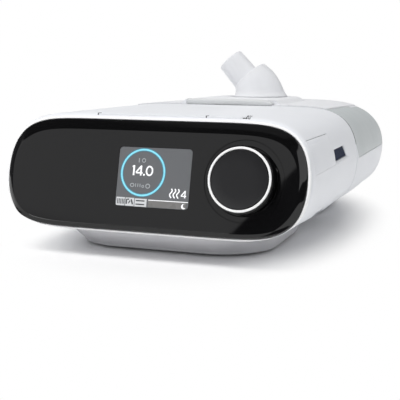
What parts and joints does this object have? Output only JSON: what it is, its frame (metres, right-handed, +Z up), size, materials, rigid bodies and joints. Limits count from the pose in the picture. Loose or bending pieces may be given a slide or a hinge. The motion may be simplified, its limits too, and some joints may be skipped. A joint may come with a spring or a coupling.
{
  "type": "bilevel positive airway pressure machine",
  "caption": "Bedside breathing machine with a tilted display panel, push-and-turn dial, start and ramp buttons, and a docked heated humidifier with a swivelling hose outlet.",
  "frame": {"origin": "under the middle of the whole object, on the surface that it stands on", "axes": "+X to the right seen from the front panel, +Y to the rear towards the humidifier, +Z up"},
  "size_m": [0.193, 0.297, 0.1249],
  "materials": {
    "casing": "satin white moulding",
    "lid": "satin off-white moulding",
    "pedestal": "satin grey moulding",
    "latch": "satin light grey moulding",
    "panel": "polished black",
    "dial": "satin black",
    "ring": "polished white",
    "window": "clear window over a grey display",
    "circuit": "green circuit board",
    "dark": "fine grain",
    "rubber": "matt",
    "silicone": "matt translucent grey",
    "wheel": "fine grain",
    "foam": "open-cell blue foam",
    "steel": "plain",
    "plate": "rolled",
    "clear": "clear"
  },
  "bodies": {
    "housing": {"main_shell": "casing", "base_pan": "pedestal", "rear_bulkhead": "casing", "front_panel": "panel", "display_window": "window", "lcd_module": "dark", "display_board": "circuit", "encoder_body": "steel", "therapy_switch": "dark", "ramp_switch": "dark", "door_pin": "steel", "filter_bay": "dark", "pollen_filter": "foam", "sd_socket": "steel", "accessory_cover": "casing", "main_board": "circuit", "board_screw_1": "steel", "board_screw_2": "steel", "power_inlet": "dark", "device_connector": "dark", "blower_lower": "dark", "blower_upper": "dark", "motor": "steel", "isolator_1": "rubber", "isolator_2": "rubber", "isolator_3": "rubber", "blower_seal": "silicone", "device_foot_1": "rubber", "device_foot_2": "rubber", "device_foot_3": "rubber", "device_foot_4": "rubber"},
    "dial_stem": {"encoder_shaft": "steel"},
    "dial": {"dial_knob": "dial", "dial_ring": "ring", "dial_cap": "dial"},
    "therapy_key": {"therapy_button": "casing"},
    "ramp_key": {"ramp_button": "casing"},
    "door": {"side_door": "casing"},
    "card": {"sd_card": "dark"},
    "rotor": {"impeller": "wheel"},
    "humidifier": {"humidifier_base": "casing", "heater_plate": "plate", "humidifier_connector": "dark", "humidifier_foot_1": "rubber", "humidifier_foot_2": "rubber", "humidifier_foot_3": "rubber", "humidifier_foot_4": "rubber", "hinge_pin_1": "steel", "hinge_pin_2": "steel", "tank_lower": "clear", "tank_plate": "plate", "tank_seal": "silicone", "tank_upper": "clear", "inlet_seal": "silicone"},
    "lid": {"humidifier_lid": "lid", "latch_pin": "steel", "lid_seal": "silicone"},
    "latch": {"lid_latch": "latch"},
    "elbow": {"outlet_elbow": "lid"}
  },
  "joints": [
    {"name": "dial_push", "type": "slide", "parent": "housing", "child": "dial_stem", "axis": [0, 0.972, -0.2351], "range_m": [0, 0.0008], "stiffness_N_per_m": 2500, "springref_m": -0.0004},
    {"name": "dial_turn", "type": "hinge", "parent": "dial_stem", "child": "dial", "pos_m": [0.0583, -0.13242, 0.04847], "axis": [0, -0.972, 0.2351], "continuous": true},
    {"name": "therapy_press", "type": "slide", "parent": "housing", "child": "therapy_key", "axis": [0, 0, -1], "range_m": [0, 0.0008], "stiffness_N_per_m": 2000, "springref_m": -0.0004},
    {"name": "ramp_press", "type": "slide", "parent": "housing", "child": "ramp_key", "axis": [0, 0, -1], "range_m": [0, 0.0008], "stiffness_N_per_m": 2000, "springref_m": -0.0004},
    {"name": "door_hinge", "type": "hinge", "parent": "housing", "child": "door", "pos_m": [0.09, -0.09405, 0.0689], "axis": [0, -1, 0], "range_deg": [0, 110]},
    {"name": "card_push", "type": "slide", "parent": "housing", "child": "card", "axis": [-1, 0, 0], "range_m": [0, 0.001], "stiffness_N_per_m": 800, "springref_m": -0.0005},
    {"name": "rotor_spin", "type": "hinge", "parent": "housing", "child": "rotor", "pos_m": [-0.018, -0.05105, 0.05], "axis": [0, 0, 1], "continuous": true},
    {"name": "humidifier_undock", "type": "slide", "parent": "housing", "child": "humidifier", "axis": [0, 1, 0], "range_m": [0, 0.04]},
    {"name": "lid_hinge", "type": "hinge", "parent": "humidifier", "child": "lid", "pos_m": [0, 0.14635, 0.0484], "axis": [-1, 0, 0], "range_deg": [0, 100]},
    {"name": "latch_lift", "type": "hinge", "parent": "lid", "child": "latch", "pos_m": [0, 0.02075, 0.0864], "axis": [-1, 0, 0], "range_deg": [0, 22], "stiffness_Nm_per_rad": 0.08, "springref_deg": -14.32},
    {"name": "elbow_swivel", "type": "hinge", "parent": "lid", "child": "elbow", "pos_m": [0, 0.09695, 0.0881], "axis": [0, 0, 1], "continuous": true}
  ]
}
